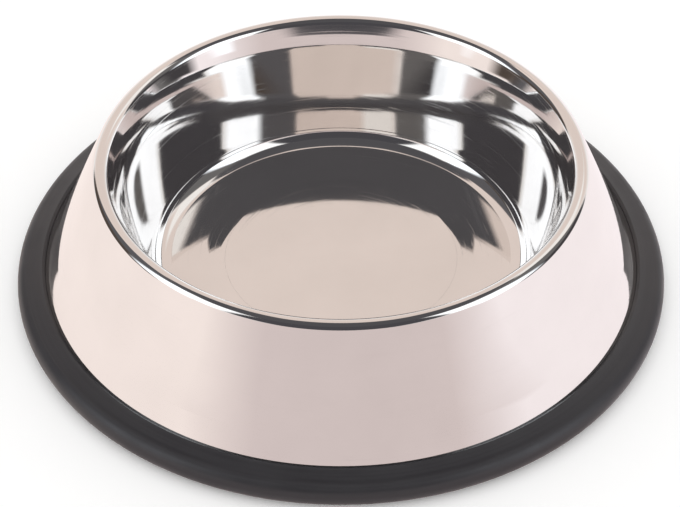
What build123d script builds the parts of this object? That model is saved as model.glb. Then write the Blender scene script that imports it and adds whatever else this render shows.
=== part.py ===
"""Stainless steel dog bowl with a rubber ring round its foot.

Millimetres, +Z up. The origin lies on the bowl's axis, on the table that the ring stands on.
The steel is one sheet: floor, wall, flared lip, folded rim, skirt, flared foot and flange follow one line,
drawn along the polished side and then given the sheet's thickness behind it. The ring's groove
and lips take their places from the foot of that sheet.
"""

import os
from math import asin, atan2, cos, pi, radians, sin, tan

from build123d import *

os.makedirs("parts", exist_ok=True)

# steel sheet
SHEET = 0.6                 # thickness of the pressed sheet
BOWL_HEIGHT = 52.0          # crest of the rim above the table
RIM_CREST_DIAMETER = 165.2  # circle along the crest of the rim
RIM_BEND = 3.0              # outside radius of the fold over the rim
LIP_LEAN = 26.5             # lean of the lip inside the rim from upright, in degrees
LIP_DROP = 7.5              # from the crest of the rim down to where the lines of the lip and the wall meet
LIP_BEND = 34.0             # radius between the lip and the wall
WALL_LEAN = 15.8            # lean of the bowl's wall from upright, in degrees
FLOOR_HEIGHT = 6.0          # polished side of the floor above the table
FLOOR_BEND = 7.5            # radius between the floor and the wall
SKIRT_DIAMETER = 203.5      # where the lines of the skirt and its flared foot meet
FOOT_RISE = 9.0             # from the flange up to where those lines meet
FOOT_FLARE = 8.6            # lean of the flared foot beyond that of the skirt, in degrees
FLARE_BEND = 50.0           # radius between the skirt and its flared foot
FLANGE_BEND = 3.0           # radius between the flared foot and the flange
FLANGE_FLAT = 1.6           # flat width of the flange, from the bend to its cut edge

# rubber ring
LOWER_LIP_THICKNESS = 4.4   # rubber between the flange and the table
LOWER_LIP_REACH = 4.5       # inward past the flange's flat
UPPER_LIP_GRIP = 4.2        # upper lip against the flared foot, from the flange upwards
CREST_RISE = 0.8            # crest of the upper lip above the end of its grip
CREST_SETBACK = 1.0         # crest of the upper lip, outward from the end of its grip
CREST_ROUND = 0.4           # rounding of the crest
RING_WALL = 4.1             # rubber outside the groove
TOP_SLOPE = 15.0            # fall of the top face towards the outer edge, in degrees
BASE_ROUND = 1.0            # rounding of the lower lip's edge on the table
GROOVE_CLEARANCE = 0.1      # room above and beyond the sheet, which lies on the groove's floor

FLANGE_HEIGHT = LOWER_LIP_THICKNESS + SHEET
RIM_CENTRE = Vector(RIM_CREST_DIAMETER / 2, BOWL_HEIGHT - RIM_BEND)
SKIRT_CORNER = Vector(SKIRT_DIAMETER / 2, FLANGE_HEIGHT + FOOT_RISE)


def lean_to_rim(corner):
    """Lean from upright of a line that runs from a corner up to the outside of the rim's fold."""
    to_rim = RIM_CENTRE - corner
    return atan2(-to_rim.X, to_rim.Y) - asin(RIM_BEND / to_rim.length)


SKIRT_LEAN = lean_to_rim(SKIRT_CORNER)
FOOT_LEAN = SKIRT_LEAN + radians(FOOT_FLARE)
FOOT_CORNER = SKIRT_CORNER + Vector(tan(FOOT_LEAN), -1) * FOOT_RISE
FLANGE_BEND_CENTRE = FOOT_CORNER + Vector(tan(pi / 4 - FOOT_LEAN / 2), 1) * FLANGE_BEND
FLANGE_EDGE = Vector(FLANGE_BEND_CENTRE.X + FLANGE_FLAT, FLANGE_HEIGHT)


def down_to(height, corner, lean):
    """Point at that height on a line that runs down and inwards from a corner."""
    return Vector(corner.X - (corner.Y - height) * tan(lean), height)


def steel_shell():
    """Floor, wall, lip, rim, skirt, flared foot and flange, turned from one line along the polished side."""
    lip_lean = radians(LIP_LEAN)
    tilt = (lip_lean - SKIRT_LEAN) / 2
    # the lines of the lip and the skirt meet above the rim, and the fold rounds that corner
    apex = RIM_CENTRE + Vector(sin(tilt), cos(tilt)) * (RIM_BEND / sin((lip_lean + SKIRT_LEAN) / 2))
    lip_corner = down_to(BOWL_HEIGHT - LIP_DROP, apex, lip_lean)
    floor_corner = down_to(FLOOR_HEIGHT, lip_corner, radians(WALL_LEAN))
    with BuildPart() as shell:
        with BuildSketch(Plane.XZ):
            with BuildLine():
                FilletPolyline(
                    (0, FLOOR_HEIGHT), floor_corner, lip_corner, apex, SKIRT_CORNER, FOOT_CORNER, FLANGE_EDGE,
                    radius=(FLOOR_BEND, LIP_BEND, RIM_BEND, FLARE_BEND, FLANGE_BEND),
                )
                offset(amount=SHEET, side=Side.RIGHT)
            make_face()
        revolve(axis=Axis.Z)
    return shell.part


def outer_edge(crest, outer):
    """Full round of the ring's outer edge: its start on the top face, its middle and its end on the table."""
    fall = radians(TOP_SLOPE)
    round_radius = (crest.Y * cos(fall) - (outer - crest.X) * sin(fall)) / (1 + cos(fall) - sin(fall))
    centre = Vector(outer - round_radius, round_radius)
    return centre + Vector(sin(fall), cos(fall)) * round_radius, Vector(outer, round_radius), Vector(centre.X, 0)


def rubber_ring():
    """Moulded ring stretched over the flange: upper lip on the flared foot, groove, lower lip on the table."""
    grip_end = FOOT_CORNER + Vector(
        GROOVE_CLEARANCE / cos(FOOT_LEAN) - UPPER_LIP_GRIP * tan(FOOT_LEAN), UPPER_LIP_GRIP
    )
    crest = grip_end + Vector(CREST_SETBACK, CREST_RISE)
    inner_round = FLANGE_BEND - GROOVE_CLEARANCE
    grip_start = FLANGE_BEND_CENTRE - Vector(cos(FOOT_LEAN), sin(FOOT_LEAN)) * inner_round
    roof_start = FLANGE_BEND_CENTRE - Vector(0, inner_round)
    groove_end = FLANGE_EDGE.X + GROOVE_CLEARANCE
    lower_edge = Vector(FLANGE_BEND_CENTRE.X - LOWER_LIP_REACH, 0)
    top_end, outermost, base_end = outer_edge(crest, groove_end + RING_WALL)
    with BuildPart() as ring:
        with BuildSketch(Plane.XZ) as section:
            with BuildLine():
                Polyline(grip_start, grip_end, crest, top_end)
                ThreePointArc(top_end, outermost, base_end)
                Polyline(
                    base_end, lower_edge, (lower_edge.X, LOWER_LIP_THICKNESS), (groove_end, LOWER_LIP_THICKNESS),
                    (groove_end, roof_start.Y), roof_start,
                )
                RadiusArc(roof_start, grip_start, inner_round)
            make_face()
            fillet(section.vertices().sort_by_distance(crest)[0], CREST_ROUND)
            fillet(section.vertices().sort_by_distance(lower_edge)[0], BASE_ROUND)
        revolve(axis=Axis.Z)
    return ring.part


export_step(steel_shell(), "parts/steel_shell.step")
export_step(rubber_ring(), "parts/rubber_ring.step")
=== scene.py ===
"""Looks of the stainless dog bowl: mirror-polished steel and satin black rubber in a small photo studio.

Everything is in metres, in the part's own frame: +Z up, the table at height 0, the camera on the -Y side.
"""

from math import asin, atan2, copysign, cos, pi, radians, sin, tan

import bpy
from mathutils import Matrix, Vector

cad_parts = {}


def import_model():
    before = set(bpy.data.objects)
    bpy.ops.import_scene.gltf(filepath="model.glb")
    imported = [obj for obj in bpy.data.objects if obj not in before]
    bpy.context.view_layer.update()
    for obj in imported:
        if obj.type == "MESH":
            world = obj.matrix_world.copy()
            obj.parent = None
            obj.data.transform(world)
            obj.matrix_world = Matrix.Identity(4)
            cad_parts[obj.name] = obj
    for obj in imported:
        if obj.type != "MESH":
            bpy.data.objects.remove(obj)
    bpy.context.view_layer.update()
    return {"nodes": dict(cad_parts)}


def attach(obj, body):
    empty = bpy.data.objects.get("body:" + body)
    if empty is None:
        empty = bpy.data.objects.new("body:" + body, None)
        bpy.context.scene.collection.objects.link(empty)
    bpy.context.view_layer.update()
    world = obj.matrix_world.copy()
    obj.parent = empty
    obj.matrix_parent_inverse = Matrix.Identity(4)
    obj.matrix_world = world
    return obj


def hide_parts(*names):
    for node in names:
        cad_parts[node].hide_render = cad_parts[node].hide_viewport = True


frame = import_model()

# photograph's frame and camera
PHOTO_WIDTH_PX = 680
AXIS_PX = 341.0             # column of the photograph that the bowl's axis falls on
CAMERA_ELEVATION = 41.6     # degrees above the table
CAMERA_DISTANCE = 0.737     # from the aim point
AIM_HEIGHT = 0.0072
FOCAL_PX = 2062.0           # focal length, in pixels of the photograph's frame
SENSOR_MM = 36.0
CLIP_START = 0.01

# steel sheet, with the sizes that it has in the part
SHEET = 0.0006
BOWL_HEIGHT = 0.052
RIM_CREST_DIAMETER = 0.1652
RIM_BEND = 0.003
LIP_LEAN = 26.5             # degrees
LIP_DROP = 0.0075
LIP_BEND = 0.034
WALL_LEAN = 15.8            # degrees
FLOOR_HEIGHT = 0.006
FLOOR_BEND = 0.0075
SKIRT_DIAMETER = 0.2035
FLANGE_HEIGHT = 0.005
FOOT_RISE = 0.009
FOOT_FLARE = 8.6            # degrees
FLARE_BEND = 0.05
FLANGE_BEND = 0.003
FLANGE_FLAT = 0.0016

# shallow relief pressed into the floor, within half a millimetre of the part's flat floor
DISC_RADIUS = 0.0422        # where the dished disc ends
DISC_DISH = 1.2             # degrees, lean of the disc at its edge
DISC_DISH_BEND = 1.95
STEP_REACH = 0.006          # width of the fall round the disc
STEP_FALL = 0.0005
STEP_BEND = 0.022

# fineness of the turned sheet
STEPS_ROUND = 288
DISH_STEPS = 12
STEP_BEND_STEPS = 8
FLOOR_BEND_STEPS = 24
LIP_BEND_STEPS = 12
RIM_BEND_STEPS = 36
FLARE_BEND_STEPS = 10
FLANGE_BEND_STEPS = 8

# lines that run round the axis, in the steel and in the rubber
LINE_BREAKS = 14.0          # breaks along the lines, to the metre
LINE_DRIFT = 0.006          # how far the lines wander

# steel finish
POLISH_LINES = 1800.0       # to the metre
SMEARS = 38.0               # to the metre
WAVES = 30.0                # slow waves of the sheet, to the metre
LINE_DEPTH = 0.0000005
WAVE_DEPTH = 0.000012
BRIGHT_STEEL = (0.9, 0.88, 0.865)
SMEARED_STEEL = (0.8, 0.78, 0.765)
LINE_ROUGHNESS = (0.0, 0.03)
SMEAR_ROUGHNESS = (0.015, 0.05)
SCUFF_RANGE = (0.6, 0.72)   # part of the line noise that shows as scuffs
SCUFF_ROUGHNESS = 0.1       # added where the polish is scuffed
SATIN_ROUGHNESS = 0.25      # added on the unpolished back

# rubber finish
STREAKS = 700.0             # moulding streaks, to the metre
PATCHES = 70.0              # patches of sheen, to the metre
GRAIN = 1800.0              # mould grain, to the metre
STREAK_DEPTH = 0.00012
STREAK_STRENGTH = 0.3
GRAIN_DEPTH = 0.00006
GRAIN_STRENGTH = 0.4
DARK_RUBBER = (0.02, 0.018, 0.021)
PALE_RUBBER = (0.043, 0.04, 0.045)
# painted highlight: paler rubber in patches along the ring's crest
CREST_HIGHLIGHT_RUBBER = (0.1, 0.098, 0.1)
CREST_HIGHLIGHT_HEIGHTS = (0.0092, 0.0099)   # heights of the painted highlight, from where it starts up to the crest of the ring
CREST_HIGHLIGHT_SHARE = 0.25
PATCH_ROUGHNESS = (0.3, 0.44)
STREAK_ROUGHNESS = (0.0, 0.12)

# studio
STUDIO_RADIUS = 1.0         # distance of the cards round the bowl
LAYER_GAP = 0.01            # from one layer of cards to the next, as a share of that distance
CARD_STEP = 2               # degrees, widest step of a card's mesh
TABLE_SIZE = 6.0
MIRROR_BOUNCES = 12         # enough for light that runs round the wall

# colours of the cards
LAMP = (1.55, 1.65, 1.75)   # soft boxes, brighter than white paper
CREAM = (0.81, 0.70, 0.645)
WINDOW = (1.0, 0.97, 0.94)
SHADE = (0.09, 0.088, 0.095)
DEEP_SHADE = (0.072, 0.07, 0.078)
LEFT_GAP = (0.115, 0.112, 0.12)
RIGHT_GAP = (0.16, 0.155, 0.155)
LEFT_GAP_FOOT = (0.085, 0.066, 0.055)
RIGHT_GAP_FOOT = (0.06, 0.056, 0.06)

# paper of the table and the sweep
WHITE = (1.0, 1.0, 1.0)
MATT_WHITE = (0.97, 0.965, 0.96)
TABLE_LIFT = 0.1            # brings the lit table up to a clean white for the camera
# painted light on the paper as the steel shows it, warmer on the left, cooler on the right
LEFT_PAINTED_LIGHT = (1.03, 0.92, 0.88)
RIGHT_PAINTED_LIGHT = (1.05, 0.97, 0.985)
SIDE_RANGE = (-0.5, 0.5)    # from left to right, over which one painted light turns into the other
DUSK = (0.73, 0.63, 0.62)   # painted shade at the end on the camera's side
DUSK_RANGE = (0.54, 0.84)   # towards the camera, over which the dusk comes in
DUSK_SKEW = 0.09            # turns the shaded end a little to the right


def placed(name, data):
    """New object in the scene."""
    obj = bpy.data.objects.new(name, data)
    bpy.context.scene.collection.objects.link(obj)
    return obj


def along(angle):
    """Unit vector of the section at that angle from the level."""
    return Vector((cos(angle), sin(angle)))


def down_to(height, corner, lean):
    """Point at that height on a line that runs down and inwards from a corner."""
    return Vector((corner.x - (corner.y - height) * tan(lean), height))


def floor_relief():
    """Corners of the floor: axis, middle and edge of the dished disc, and the foot of its fall."""
    disc_edge = Vector((DISC_RADIUS, FLOOR_HEIGHT + DISC_RADIUS / 2 * tan(radians(DISC_DISH))))
    step_foot = disc_edge + Vector((STEP_REACH, -STEP_FALL))
    return [Vector((0, FLOOR_HEIGHT)), Vector((DISC_RADIUS / 2, FLOOR_HEIGHT)), disc_edge, step_foot]


def sheet_corners():
    """Corners of the line along the polished side, from the axis to the flange's cut edge."""
    lip_lean = radians(LIP_LEAN)
    rim_centre = Vector((RIM_CREST_DIAMETER / 2, BOWL_HEIGHT - RIM_BEND))
    skirt_corner = Vector((SKIRT_DIAMETER / 2, FLANGE_HEIGHT + FOOT_RISE))
    to_rim = rim_centre - skirt_corner
    skirt_lean = atan2(-to_rim.x, to_rim.y) - asin(RIM_BEND / to_rim.length)
    foot_lean = skirt_lean + radians(FOOT_FLARE)
    foot_corner = skirt_corner + Vector((tan(foot_lean), -1)) * FOOT_RISE
    bend_reach = FLANGE_BEND * tan(pi / 4 - foot_lean / 2)
    flange_edge = foot_corner + Vector((bend_reach + FLANGE_FLAT, 0))
    # the lines of the lip and the skirt meet above the rim, and the fold rounds that corner
    tilt = (lip_lean - skirt_lean) / 2
    apex = rim_centre + Vector((sin(tilt), cos(tilt))) * (RIM_BEND / sin((lip_lean + skirt_lean) / 2))
    lip_corner = down_to(BOWL_HEIGHT - LIP_DROP, apex, lip_lean)
    floor_corner = down_to(FLOOR_HEIGHT, lip_corner, radians(WALL_LEAN))
    return floor_relief() + [floor_corner, lip_corner, apex, skirt_corner, foot_corner, flange_edge]


def sheet_section():
    """Places along the polished side with rounded corners, each with the direction that its face looks in."""
    corners = sheet_corners()
    bends = (
        (DISC_DISH_BEND, DISH_STEPS), (STEP_BEND, STEP_BEND_STEPS), (STEP_BEND, STEP_BEND_STEPS),
        (FLOOR_BEND, FLOOR_BEND_STEPS), (LIP_BEND, LIP_BEND_STEPS), (RIM_BEND, RIM_BEND_STEPS),
        (FLARE_BEND, FLARE_BEND_STEPS), (FLANGE_BEND, FLANGE_BEND_STEPS),
    )
    section = [(corners[0], along(pi / 2))]
    for before, corner, after, (bend, steps) in zip(corners, corners[1:], corners[2:], bends):
        arriving = atan2(*(corner - before).yx)
        turn = atan2(*(after - corner).yx) - arriving
        side = copysign(bend, turn)
        start = corner - along(arriving) * (bend * tan(abs(turn) / 2))
        centre = start + along(arriving + pi / 2) * side
        for i in range(steps + 1):
            face = along(arriving + turn * i / steps + pi / 2)
            section.append((centre - face * side, face))
    section.append((corners[-1], along(pi / 2)))
    return section


def turned_sheet(name):
    """Sheet turned round the axis: polished side, cut edge and back, shaded by the section's directions."""
    polished = sheet_section()
    back = [(place - face * SHEET, -face) for place, face in reversed(polished)]
    section = polished + back
    turns = [(cos(2 * pi * k / STEPS_ROUND), sin(2 * pi * k / STEPS_ROUND)) for k in range(STEPS_ROUND)]
    verts, rings, unpolished = [], [], []
    for j, (place, face) in enumerate(section):
        count = STEPS_ROUND if place.x > 0 else 1
        rings.append([len(verts) + k % count for k in range(STEPS_ROUND + 1)])
        verts += [(place.x * c, place.x * s, place.y) for c, s in turns[:count]]
        unpolished += [float(j >= len(polished))] * count
    faces, normals = [], []
    for j in range(len(section) - 1):
        cut_edge = j == len(polished) - 1
        looks = (along(0), along(0)) if cut_edge else (section[j][1], section[j + 1][1])
        for k in range(STEPS_ROUND):
            loop = [(rings[j][k], looks[0], k), (rings[j + 1][k], looks[1], k),
                    (rings[j + 1][k + 1], looks[1], k + 1), (rings[j][k + 1], looks[0], k + 1)]
            # on the axis two corners are one point, and the face is a triangle
            loop = [corner for i, corner in enumerate(loop) if corner[0] != loop[i - 1][0]]
            faces.append([index for index, look, turn in loop])
            for index, look, turn in loop:
                c, s = turns[turn % STEPS_ROUND]
                normals.append((look.x * c, look.x * s, look.y))
    mesh = bpy.data.meshes.new(name)
    mesh.from_pydata(verts, [], faces)
    mesh.polygons.foreach_set("use_smooth", [True] * len(faces))
    mesh.normals_split_custom_set(normals)
    mesh.attributes.new("unpolished", "FLOAT", "POINT").data.foreach_set("value", unpolished)
    return placed(name, mesh)


class Nodes:
    """Node material in the making: adds nodes with their settings and inputs in one call."""

    def __init__(self, name):
        self.material = bpy.data.materials.new(name)
        self.material.use_nodes = True
        self.tree = self.material.node_tree
        self.shader = self.tree.nodes["Principled BSDF"]

    def add(self, kind, inputs=None, **settings):
        """New node; an input's value is a plain value or another node's output."""
        node = self.tree.nodes.new(kind)
        for key, value in settings.items():
            setattr(node, key, value)
        for key, value in (inputs or {}).items():
            self.feed(node.inputs[key], value)
        return node

    def feed(self, socket, value):
        """Value or link into one socket."""
        if isinstance(value, bpy.types.NodeSocket):
            self.tree.links.new(value, socket)
        else:
            socket.default_value = value

    def math(self, operation, *values):
        """Result of a sum on values and outputs."""
        return self.add("ShaderNodeMath", dict(enumerate(values)), operation=operation).outputs[0]

    def noise(self, vector, scale, detail=3.0):
        """Noise between 0 and 1 at that many grains to the metre of its vector."""
        inputs = {"Vector": vector, "Scale": scale, "Detail": detail}
        return self.add("ShaderNodeTexNoise", inputs).outputs["Fac"]

    def spread(self, value, low, high, start=0.3, end=0.7):
        """Value between start and end laid out from low to high, and held beyond them."""
        inputs = {"Value": value, "From Min": start, "From Max": end, "To Min": low, "To Max": high}
        return self.add("ShaderNodeMapRange", inputs).outputs["Result"]

    def tint(self, value, first, second):
        """Colour between two colours."""
        node = self.add("ShaderNodeMix", {"Factor": value}, data_type="RGBA")
        for key, colour in (("A", first), ("B", second)):
            self.feed(node.inputs[key], (*colour, 1) if isinstance(colour, tuple) else colour)
        return node.outputs["Result"]

    def blend(self, share, first, second):
        """Shader between two shaders."""
        return self.add("ShaderNodeMixShader", {0: share, 1: first, 2: second}).outputs[0]

    def surface(self, shader):
        """Shader that the material shows."""
        self.feed(self.tree.nodes["Material Output"].inputs["Surface"], shader)


def round_place(nodes):
    """Place on a turned surface, its distance from the axis and its height."""
    place = nodes.add("ShaderNodeTexCoord").outputs["Object"]
    split = nodes.add("ShaderNodeSeparateXYZ", {"Vector": place}).outputs
    flat = nodes.add("ShaderNodeCombineXYZ", {"X": split["X"], "Y": split["Y"]}).outputs["Vector"]
    radius = nodes.add("ShaderNodeVectorMath", {0: flat}, operation="LENGTH").outputs["Value"]
    return place, radius, split["Z"]


def lines_round(nodes, place, radius, height):
    """Vector for noise that runs in lines round the axis and breaks up along them."""
    drift = nodes.math("MULTIPLY", nodes.noise(place, LINE_BREAKS, detail=2.0), LINE_DRIFT)
    return nodes.add("ShaderNodeCombineXYZ", {"X": radius, "Y": height, "Z": drift}).outputs["Vector"]


def steel():
    """Mirror-polished steel with a satin back: lines round the axis, scuffs, smears and slow waves."""
    nodes = Nodes("polished_steel")
    place, radius, height = round_place(nodes)
    lines = nodes.noise(lines_round(nodes, place, radius, height), POLISH_LINES, detail=4.0)
    scuffs = nodes.spread(lines, 0.0, 1.0, *SCUFF_RANGE)
    smears = nodes.noise(place, SMEARS, detail=4.0)
    shader = nodes.shader
    shader.inputs["Metallic"].default_value = 1.0
    nodes.feed(shader.inputs["Base Color"], nodes.tint(smears, BRIGHT_STEEL, SMEARED_STEEL))
    line_dullness = nodes.spread(lines, *LINE_ROUGHNESS)
    polish = nodes.math("ADD", line_dullness, nodes.spread(smears, *SMEAR_ROUGHNESS))
    satin = nodes.add("ShaderNodeAttribute", attribute_name="unpolished").outputs["Fac"]
    scuff_dullness = nodes.math("MULTIPLY", scuffs, SCUFF_ROUGHNESS)
    dull = nodes.math("ADD", scuff_dullness, nodes.math("MULTIPLY", satin, SATIN_ROUGHNESS))
    nodes.feed(shader.inputs["Roughness"], nodes.math("ADD", polish, dull))
    wave_height = nodes.noise(place, WAVES, detail=1.0)
    waves = nodes.add("ShaderNodeBump", {"Distance": WAVE_DEPTH, "Height": wave_height}).outputs["Normal"]
    bump = nodes.add("ShaderNodeBump", {"Distance": LINE_DEPTH, "Height": lines, "Normal": waves})
    nodes.feed(shader.inputs["Normal"], bump.outputs["Normal"])
    return nodes.material


def rubber():
    """Satin black moulded rubber: fine grain, streaks round the ring, patchy sheen and a painted highlight in
    patches along the crest.
    """
    nodes = Nodes("black_rubber")
    place, radius, height = round_place(nodes)
    streaks = nodes.noise(lines_round(nodes, place, radius, height), STREAKS, detail=4.0)
    patches = nodes.noise(place, PATCHES, detail=4.0)
    shader = nodes.shader
    black = nodes.tint(streaks, DARK_RUBBER, PALE_RUBBER)
    # painted highlight along the crest, lighter in patches
    crest = nodes.spread(height, 0.0, CREST_HIGHLIGHT_SHARE, *CREST_HIGHLIGHT_HEIGHTS)
    painted_crest_highlight = nodes.math("MULTIPLY", crest, patches)
    nodes.feed(shader.inputs["Base Color"], nodes.tint(painted_crest_highlight, black, CREST_HIGHLIGHT_RUBBER))
    patch_sheen = nodes.spread(patches, *PATCH_ROUGHNESS)
    sheen = nodes.math("ADD", patch_sheen, nodes.spread(streaks, *STREAK_ROUGHNESS))
    nodes.feed(shader.inputs["Roughness"], sheen)
    moulding = nodes.add("ShaderNodeBump", {
        "Strength": STREAK_STRENGTH, "Distance": STREAK_DEPTH, "Height": streaks,
    })
    grain = nodes.add("ShaderNodeBump", {
        "Strength": GRAIN_STRENGTH, "Distance": GRAIN_DEPTH, "Height": nodes.noise(place, GRAIN),
        "Normal": moulding.outputs["Normal"],
    })
    nodes.feed(shader.inputs["Normal"], grain.outputs["Normal"])
    return nodes.material


def glow(name, colour):
    """Card material of one plain brightness that fades out towards the card's edges."""
    nodes = Nodes(name)
    nodes.tree.nodes.remove(nodes.shader)
    cover = nodes.add("ShaderNodeAttribute", attribute_name="cover").outputs["Fac"]
    light = nodes.add("ShaderNodeEmission", {"Color": (*colour, 1)}).outputs[0]
    clear = nodes.add("ShaderNodeBsdfTransparent").outputs[0]
    nodes.surface(nodes.blend(cover, clear, light))
    return nodes.material


def paper():
    """White paper: matt under the light; in reflections a glow of painted light, warmer to the left, with
    painted shade towards the camera.

    It is clear from behind.
    """
    nodes = Nodes("paper")
    place, radius, height = round_place(nodes)
    split = nodes.add("ShaderNodeSeparateXYZ", {"Vector": place}).outputs
    rightward = nodes.math("DIVIDE", split["X"], radius)
    backward = nodes.math("DIVIDE", split["Y"], radius)
    forward = nodes.math("SUBTRACT", nodes.math("MULTIPLY", rightward, DUSK_SKEW), backward)
    # painted light from left to right, then painted shade towards the camera
    white = nodes.tint(nodes.spread(rightward, 0.0, 1.0, *SIDE_RANGE), LEFT_PAINTED_LIGHT, RIGHT_PAINTED_LIGHT)
    shown = nodes.tint(nodes.spread(forward, 0.0, 1.0, *DUSK_RANGE), white, DUSK)
    light = nodes.add("ShaderNodeEmission", {"Color": shown}).outputs[0]
    ray = nodes.add("ShaderNodeLightPath").outputs
    matt = nodes.shader
    nodes.feed(matt.inputs["Base Color"], (*MATT_WHITE, 1))
    nodes.feed(matt.inputs["Roughness"], 1.0)
    nodes.feed(matt.inputs["Specular IOR Level"], 0.0)
    nodes.feed(matt.inputs["Emission Color"], (*WHITE, 1))
    lift = nodes.math("MULTIPLY", ray["Is Camera Ray"], TABLE_LIFT)
    nodes.feed(matt.inputs["Emission Strength"], lift)
    seen = nodes.blend(ray["Is Glossy Ray"], matt.outputs[0], light)
    behind = nodes.add("ShaderNodeNewGeometry").outputs["Backfacing"]
    clear = nodes.add("ShaderNodeBsdfTransparent").outputs[0]
    nodes.surface(nodes.blend(behind, seen, clear))
    return nodes.material


def on_dome(azimuth, elevation, radius):
    """Point of the studio in that direction; azimuth 0 is the camera's side, 90 is to its right."""
    a, e = radians(azimuth), radians(elevation)
    return Vector((sin(a) * cos(e), -cos(a) * cos(e), sin(e))) * radius


def card(name, azimuth, elevation, material, layer=0, soft_sides=3.0, soft_ends=3.0):
    """Curved card over a range of directions, seen only in reflections.

    A higher layer stands in front of a lower one. The soft edges are measured in degrees. A card that
    goes all the way round has no sides, and one that reaches the top has no upper end.
    """
    (a0, a1), (e0, e1) = azimuth, elevation
    all_round = a1 - a0 >= 360
    columns = round((a1 - a0) / min(CARD_STEP, soft_sides))
    rows = round((e1 - e0) / min(CARD_STEP, soft_ends))
    radius = STUDIO_RADIUS * (1 - LAYER_GAP * layer)
    verts, cover = [], []
    for j in range(rows + 1):
        for i in range(columns + 1):
            across, up = (a1 - a0) * i / columns, (e1 - e0) * j / rows
            verts.append(on_dome(a0 + across, e0 + up, radius))
            side = 1.0 if all_round else min(across, a1 - a0 - across) / soft_sides
            end = up / soft_ends if e1 >= 90 else min(up, e1 - e0 - up) / soft_ends
            cover.append(max(0.0, min(1.0, side, end)))
    n = columns + 1
    faces = [(j * n + i, (j + 1) * n + i, (j + 1) * n + i + 1, j * n + i + 1)
             for j in range(rows) for i in range(columns)]
    mesh = bpy.data.meshes.new(name)
    mesh.from_pydata(verts, [], faces)
    mesh.attributes.new("cover", "FLOAT", "POINT").data.foreach_set("value", cover)
    mesh.materials.append(material)
    obj = placed(name, mesh)
    obj.visible_camera = False
    obj.visible_diffuse = False
    obj.visible_shadow = False


def world():
    """White background, also in the steel; a plain soft level for everything matt."""
    scene_world = bpy.data.worlds.new("studio")
    bpy.context.scene.world = scene_world
    scene_world.use_nodes = True
    background = scene_world.node_tree.nodes["Background"]
    background.inputs["Color"].default_value = (*WHITE, 1)
    background.inputs["Strength"].default_value = 1.0


def camera():
    """Camera at the photograph's viewing angle."""
    data = bpy.data.cameras.new("camera")
    obj = placed("camera", data)
    elevation = radians(CAMERA_ELEVATION)
    aim = Vector((0, 0, AIM_HEIGHT))
    obj.location = aim + Vector((0, -cos(elevation), sin(elevation))) * CAMERA_DISTANCE
    obj.rotation_euler = (aim - obj.location).to_track_quat("-Z", "Y").to_euler()
    data.sensor_fit = "HORIZONTAL"
    data.sensor_width = SENSOR_MM
    data.lens = FOCAL_PX / PHOTO_WIDTH_PX * SENSOR_MM
    data.shift_x = (PHOTO_WIDTH_PX / 2 - AXIS_PX) / PHOTO_WIDTH_PX
    data.clip_start = CLIP_START
    bpy.context.scene.camera = obj


def table(material):
    """Level table top at height 0."""
    mesh = bpy.data.meshes.new("table")
    half = TABLE_SIZE / 2
    corners = [(-half, -half, 0), (half, -half, 0), (half, half, 0), (-half, half, 0)]
    mesh.from_pydata(corners, [], [(0, 1, 2, 3)])
    mesh.materials.append(material)
    obj = placed("table", mesh)


def ground():
    """White table, and the low sweep of the same paper round the camera's side."""
    white_paper = paper()
    table(white_paper)
    card("sweep", (-120, 112), (0, 22), white_paper)


def backdrop():
    """Cream backdrop with a bright window, and a dark ceiling that its top reaches into."""
    cream = glow("backdrop", CREAM)
    card("backdrop", (113, 262), (2, 90), cream, soft_sides=18, soft_ends=24)
    card("window", (119, 160), (35, 60), glow("window", WINDOW), layer=1, soft_sides=8, soft_ends=4)
    card("ceiling", (-180, 180), (56.5, 90), glow("shade", SHADE), layer=2, soft_ends=2)
    card("backdrop_top", (158, 202), (50, 72), cream, layer=3, soft_sides=8)


def gaps():
    """Dark gaps between the backdrop and the soft boxes, darker and wider near the table."""
    card("left_gap", (-133, -87), (4, 62), glow("left_gap", LEFT_GAP), layer=2, soft_ends=2)
    card("right_gap", (82.5, 122.5), (4, 62), glow("right_gap", RIGHT_GAP), layer=2, soft_ends=2)
    left_foot = glow("left_gap_foot", LEFT_GAP_FOOT)
    card("left_gap_foot", (-135, -75), (6.5, 27), left_foot, layer=3, soft_sides=7, soft_ends=2)
    right_foot = glow("right_gap_foot", RIGHT_GAP_FOOT)
    card("right_gap_foot", (73, 124), (6.5, 27), right_foot, layer=3, soft_sides=6, soft_ends=2)


def soft_boxes():
    """Bright soft boxes to the left and right of the camera, each narrower at its foot."""
    lamp = glow("soft_box", LAMP)
    card("left_box_foot", (-95, -59), (14.2, 25), lamp, layer=4, soft_sides=8)
    card("left_box", (-95, -47), (22, 55), lamp, layer=5, soft_sides=8)
    card("right_box_foot", (52, 90), (14.2, 25), lamp, layer=4, soft_sides=8)
    card("right_box", (43, 90), (22, 55), lamp, layer=5, soft_sides=8)


def front():
    """Dark side of the room behind the camera, narrower at its foot."""
    deep_shade = glow("front", DEEP_SHADE)
    card("front", (-48, 45), (23, 60), deep_shade, layer=6, soft_ends=2)
    card("front_foot", (-36, 34), (20.3, 26), deep_shade, layer=7, soft_sides=14, soft_ends=1)


def bowl():
    """Finely turned sheet in place of the steel shell."""
    sheet = turned_sheet("steel_sheet")
    sheet.data.materials.append(steel())
    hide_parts("steel_shell")
    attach(sheet, "root")


def ring():
    """Rubber on the ring as the part has it."""
    obj = frame["nodes"]["rubber_ring"]
    obj.data.materials.clear()
    obj.data.materials.append(rubber())


bowl()
ring()
world()
camera()
ground()
backdrop()
gaps()
soft_boxes()
front()

bpy.context.scene.cycles.glossy_bounces = MIRROR_BOUNCES
bpy.context.scene.view_settings.view_transform = "Standard"
